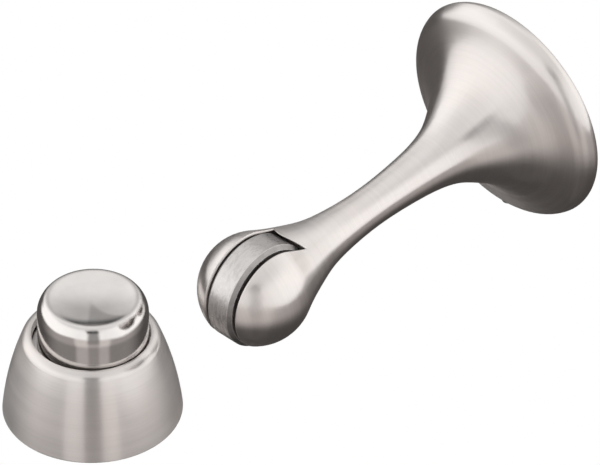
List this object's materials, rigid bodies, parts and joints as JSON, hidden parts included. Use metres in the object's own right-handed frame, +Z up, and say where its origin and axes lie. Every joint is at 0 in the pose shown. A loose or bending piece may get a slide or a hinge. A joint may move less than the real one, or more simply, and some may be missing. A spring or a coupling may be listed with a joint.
{
  "type": "floor door holder",
  "caption": "Magnetic floor door holder: a sprung dished cup in a conical floor housing catches the steel disc in the slotted ball end of a flared door arm.",
  "frame": {"origin": "centre of the floor unit's underside, on the floor", "axes": "+Z up; the door unit stands beside the floor unit towards +X, its arm running level towards +X +Y"},
  "size_m": [0.1249, 0.0841, 0.0971],
  "materials": {
    "satin_nickel": "satin",
    "polished_nickel": "polished",
    "plain_steel": "ground",
    "zinc_plated_steel": "zinc plated",
    "magnet_nickel": "nickel plated",
    "bronze": "sintered",
    "spring_steel": "drawn",
    "black_rubber": "matt"
  },
  "bodies": {
    "floor_unit": {"cone_housing": "satin_nickel", "base_plate": "zinc_plated_steel", "base_pad": "black_rubber", "floor_screws": "zinc_plated_steel", "housing_grub_screw": "spring_steel", "buffer_ring": "black_rubber", "spring": "spring_steel"},
    "seat": {"spring_seat": "plain_steel"},
    "catch": {"catch_cup": "polished_nickel", "pole_cup": "plain_steel", "magnet": "magnet_nickel", "retaining_ring": "spring_steel", "cup_retainer": "plain_steel"},
    "door_arm": {"arm": "satin_nickel", "door_plate": "zinc_plated_steel", "door_pad": "black_rubber", "door_screws": "zinc_plated_steel", "arm_grub_screw": "spring_steel", "disc_pin": "plain_steel", "spacer_washers": "zinc_plated_steel"},
    "disc": {"keeper_disc": "plain_steel", "disc_bush": "bronze"}
  },
  "joints": [
    {"name": "cup_travel", "type": "slide", "parent": "floor_unit", "child": "seat", "axis": [0, 0, 1], "range_m": [-0.0035, 0], "stiffness_N_per_m": 900, "springref_m": 0.001, "deforming": ["spring"]},
    {"name": "cup_rock", "type": "hinge", "parent": "seat", "child": "catch", "pos_m": [0.00045, -0.00035, 0.0155], "axis": [1, 0, 0], "range_deg": [-1.2, 1.2], "stiffness_Nm_per_rad": 0.5},
    {"name": "door_approach", "type": "slide", "parent": "floor_unit", "child": "door_arm", "axis": [-0.9408, 0.339, 0], "range_m": [0, 0.03604]},
    {"name": "disc_spin", "type": "hinge", "parent": "door_arm", "child": "disc", "pos_m": [0.03436, -0.01257, 0.04142], "axis": [0.712, -0.7022, 0], "continuous": true}
  ]
}
